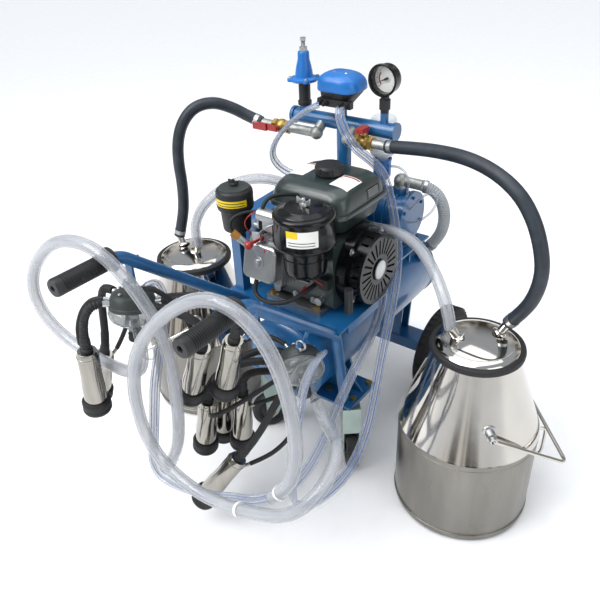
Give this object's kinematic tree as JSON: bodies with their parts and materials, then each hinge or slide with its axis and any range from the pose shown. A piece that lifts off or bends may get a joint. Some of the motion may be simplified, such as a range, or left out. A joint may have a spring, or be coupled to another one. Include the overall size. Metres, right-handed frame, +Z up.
{
  "type": "milking machine",
  "caption": "Portable two-bucket milking machine: small petrol engine and vacuum pump on a blue wheeled tank trolley, steel buckets and teat cup clusters",
  "frame": {"origin": "on the floor, under the middle of the machine's outline", "axes": "X across the trolley between the two buckets, +Y from the handles towards the road wheels, +Z up"},
  "size_m": [1.1944, 1, 0.944],
  "materials": {
    "frame_blue": "semi-gloss enamel",
    "engine_paint": "satin enamel",
    "black_paint": "gloss enamel",
    "cast_alloy": "as cast, bead blasted",
    "stainless": "polished and satin stainless",
    "zinc": "zinc plated",
    "black_plastic": "moulded",
    "blue_plastic": "moulded",
    "red_plastic": "moulded",
    "white_plastic": "moulded",
    "clear_hose": "clear, slightly milky",
    "hose_rubber": "smooth",
    "black_rubber": "satin",
    "tyre_rubber": "treaded",
    "rim_cream": "enamel",
    "caster_green": "zinc and pale enamel"
  },
  "bodies": {
    "trolley": {"air_cleaner": "black_paint", "belt_guard": "frame_blue", "bucket_bodies": "stainless", "bucket_lids": "stainless", "clamps_and_ties": "white_plastic", "claws": "stainless", "cluster_tubes": "black_rubber", "crankcase": "engine_paint", "cup_liners": "black_rubber", "cup_shells": "stainless", "drive_belt": "black_rubber", "engine_fittings": "zinc", "engine_platform": "frame_blue", "exhaust_canister": "black_plastic", "frame_bolts": "zinc", "front_base": "frame_blue", "fuel_tank": "engine_paint", "gauge_case": "black_plastic", "handle_frame": "frame_blue", "handle_grips": "black_rubber", "lid_gaskets": "black_rubber", "manifold": "frame_blue", "milk_hose_left": "clear_hose", "milk_hose_right": "clear_hose", "oil_reservoir": "white_plastic", "pipe_fittings": "zinc", "pulsator": "blue_plastic", "pulse_tube_left": "clear_hose", "pulse_tube_right": "clear_hose", "rear_beam": "frame_blue", "recoil_cover": "black_plastic", "regulator_body": "blue_plastic", "small_hoses": "black_rubber", "transfer_hose": "clear_hose", "vacuum_hose_left": "hose_rubber", "vacuum_hose_right": "hose_rubber", "vacuum_pump": "frame_blue", "vacuum_tank": "frame_blue"},
    "wheel_left": {"wheel_rim_left": "rim_cream", "wheel_tyre_left": "tyre_rubber"},
    "wheel_right": {"wheel_rim_right": "rim_cream", "wheel_tyre_right": "tyre_rubber"},
    "fork_left": {"caster_fork_left": "caster_green"},
    "fork_right": {"caster_fork_right": "caster_green"},
    "roller_left": {"caster_wheel_left": "black_rubber"},
    "roller_right": {"caster_wheel_right": "black_rubber"},
    "recoil_grip": {"recoil_handle": "black_plastic"},
    "cap": {"fuel_cap": "black_plastic"},
    "choke": {"choke_lever": "zinc"},
    "throttle": {"throttle_lever": "red_plastic"},
    "engine_shaft": {"engine_pulley": "cast_alloy"},
    "pump_shaft": {"pump_pulley": "cast_alloy"},
    "screw": {"regulator_screw": "zinc"},
    "needle": {"gauge_needle": "black_paint"},
    "lever_left": {"valve_lever_left": "red_plastic"},
    "lever_right": {"valve_lever_right": "red_plastic"},
    "bail_wire_left": {"bail_left": "stainless"},
    "bail_wire_right": {"bail_right": "stainless"},
    "plunger_left": {"claw_plunger_left": "black_rubber"},
    "plunger_right": {"claw_plunger_right": "black_rubber"}
  },
  "joints": [
    {"name": "wheel_spin_left", "type": "hinge", "parent": "trolley", "child": "wheel_left", "pos_m": [-0.178, 0.37, 0.13], "axis": [1, 0, 0], "continuous": true},
    {"name": "caster_swivel_left", "type": "hinge", "parent": "trolley", "child": "fork_left", "pos_m": [-0.1, 0.022, 0.15], "axis": [0, 0, 1], "continuous": true},
    {"name": "caster_spin_left", "type": "hinge", "parent": "fork_left", "child": "roller_left", "pos_m": [-0.126, -0.009, 0.05], "axis": [0.7662, -0.6426, 0], "continuous": true},
    {"name": "wheel_spin_right", "type": "hinge", "parent": "trolley", "child": "wheel_right", "pos_m": [0.178, 0.37, 0.13], "axis": [1, 0, 0], "continuous": true},
    {"name": "caster_swivel_right", "type": "hinge", "parent": "trolley", "child": "fork_right", "pos_m": [0.1, 0.022, 0.15], "axis": [0, 0, 1], "continuous": true},
    {"name": "caster_spin_right", "type": "hinge", "parent": "fork_right", "child": "roller_right", "pos_m": [0.126, -0.009, 0.05], "axis": [0.7662, 0.6426, 0], "continuous": true},
    {"name": "recoil_pull", "type": "slide", "parent": "trolley", "child": "recoil_grip", "axis": [0, -1, 0], "range_m": [0, 0.055], "stiffness_N_per_m": 40, "springref_m": -0.02},
    {"name": "fuel_cap_turn", "type": "hinge", "parent": "trolley", "child": "cap", "pos_m": [0, 0.097, 0.715], "axis": [0, 0, 1], "range_deg": [0, 90]},
    {"name": "choke_turn", "type": "hinge", "parent": "trolley", "child": "choke", "pos_m": [-0.066, -0.066, 0.655], "axis": [1, 0, 0], "range_deg": [0, 60]},
    {"name": "throttle_turn", "type": "hinge", "parent": "trolley", "child": "throttle", "pos_m": [-0.05, -0.086, 0.612], "axis": [1, 0, 0], "range_deg": [-20, 10]},
    {"name": "engine_spin", "type": "hinge", "parent": "trolley", "child": "engine_shaft", "pos_m": [-0.17, 0.066, 0.525], "axis": [1, 0, 0], "continuous": true},
    {"name": "pump_spin", "type": "hinge", "parent": "trolley", "child": "pump_shaft", "pos_m": [-0.17, 0.345, 0.52], "axis": [1, 0, 0], "continuous": true},
    {"name": "regulator_turn", "type": "hinge", "parent": "trolley", "child": "screw", "pos_m": [-0.154, 0.225, 0.93], "axis": [0, 0, 1], "range_deg": [-180, 180]},
    {"name": "gauge_turn", "type": "hinge", "parent": "trolley", "child": "needle", "pos_m": [0.058, 0.225, 0.878], "axis": [0, -1, 0], "range_deg": [-230, 40], "stiffness_Nm_per_rad": 0.0005},
    {"name": "valve_turn_left", "type": "hinge", "parent": "trolley", "child": "lever_left", "pos_m": [-0.2, 0.17, 0.747], "axis": [0, 1, 0], "range_deg": [0, 90]},
    {"name": "valve_turn_right", "type": "hinge", "parent": "trolley", "child": "lever_right", "pos_m": [0.028, 0.193, 0.772], "axis": [0, 0, 1], "range_deg": [0, 90]},
    {"name": "bail_turn_left", "type": "hinge", "parent": "trolley", "child": "bail_wire_left", "pos_m": [-0.382, 0.025, 0.3], "axis": [-0.6428, 0.766, 0], "range_deg": [0, 75]},
    {"name": "bail_turn_right", "type": "hinge", "parent": "trolley", "child": "bail_wire_right", "pos_m": [0.382, 0.065, 0.3], "axis": [0.6428, -0.766, 0], "range_deg": [0, 75]},
    {"name": "claw_valve_left", "type": "slide", "parent": "trolley", "child": "plunger_left", "axis": [0.0976, -0.1952, -0.9759], "range_m": [0, 0.008]},
    {"name": "claw_valve_right", "type": "slide", "parent": "trolley", "child": "plunger_right", "axis": [0.6211, -0.6612, -0.4208], "range_m": [0, 0.008]}
  ],
  "couplings": [
    {"joint": "pump_spin", "follows": "engine_spin", "ratio": 0.77}
  ]
}
